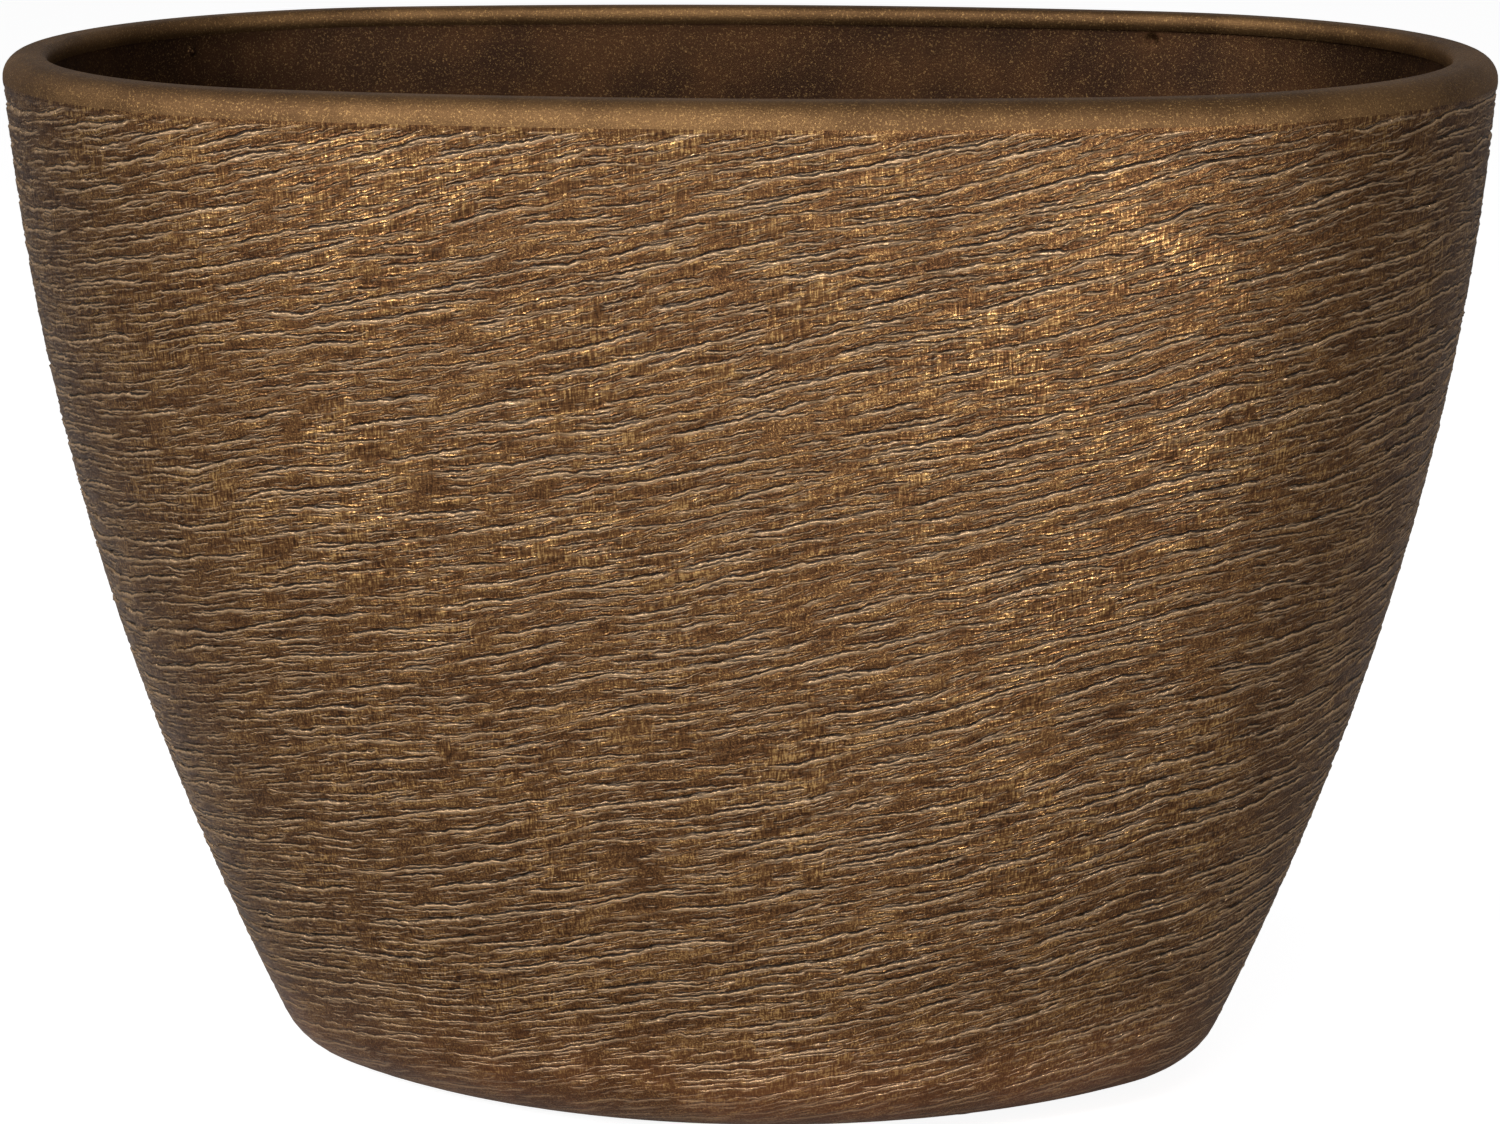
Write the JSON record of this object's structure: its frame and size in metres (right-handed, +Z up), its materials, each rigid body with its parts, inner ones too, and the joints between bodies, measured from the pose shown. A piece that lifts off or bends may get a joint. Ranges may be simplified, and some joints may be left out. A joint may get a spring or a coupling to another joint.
{
  "type": "flower pot",
  "caption": "Oval tapered flower pot with a rounded lip, a wrinkled bronze glaze, drain holes with pull-out plugs, loose drain screens and rubber foot pads.",
  "frame": {"origin": "on the ground, under the middle of the pot, at the underside of the foot pads", "axes": "+X along the length of the oval, +Y towards its back, +Z up; the picture looks along +Y and a little down"},
  "size_m": [0.4, 0.24, 0.283],
  "materials": {
    "bronze_glaze": "satin metallic bronze over a wrinkled relief, smooth on the lip and inside",
    "plug_rubber": "matt moulded rubber",
    "screen_plastic": "matt moulded plastic",
    "pad_rubber": "matt rubber"
  },
  "bodies": {
    "pot": {"pot_body": "bronze_glaze", "foot_pad_front_left": "pad_rubber", "foot_pad_front_right": "pad_rubber", "foot_pad_back_left": "pad_rubber", "foot_pad_back_right": "pad_rubber"},
    "plug_left": {"drain_plug_left": "plug_rubber"},
    "screen_left": {"drain_screen_left": "screen_plastic"},
    "plug_right": {"drain_plug_right": "plug_rubber"},
    "screen_right": {"drain_screen_right": "screen_plastic"}
  },
  "joints": [
    {"name": "plug_left_pull", "type": "slide", "parent": "pot", "child": "plug_left", "axis": [0, 0, -1], "range_m": [0, 0.03]},
    {"name": "screen_left_lift", "type": "slide", "parent": "pot", "child": "screen_left", "axis": [0, 0, 1], "range_m": [0, 0.27]},
    {"name": "plug_right_pull", "type": "slide", "parent": "pot", "child": "plug_right", "axis": [0, 0, -1], "range_m": [0, 0.03]},
    {"name": "screen_right_lift", "type": "slide", "parent": "pot", "child": "screen_right", "axis": [0, 0, 1], "range_m": [0, 0.27]}
  ]
}
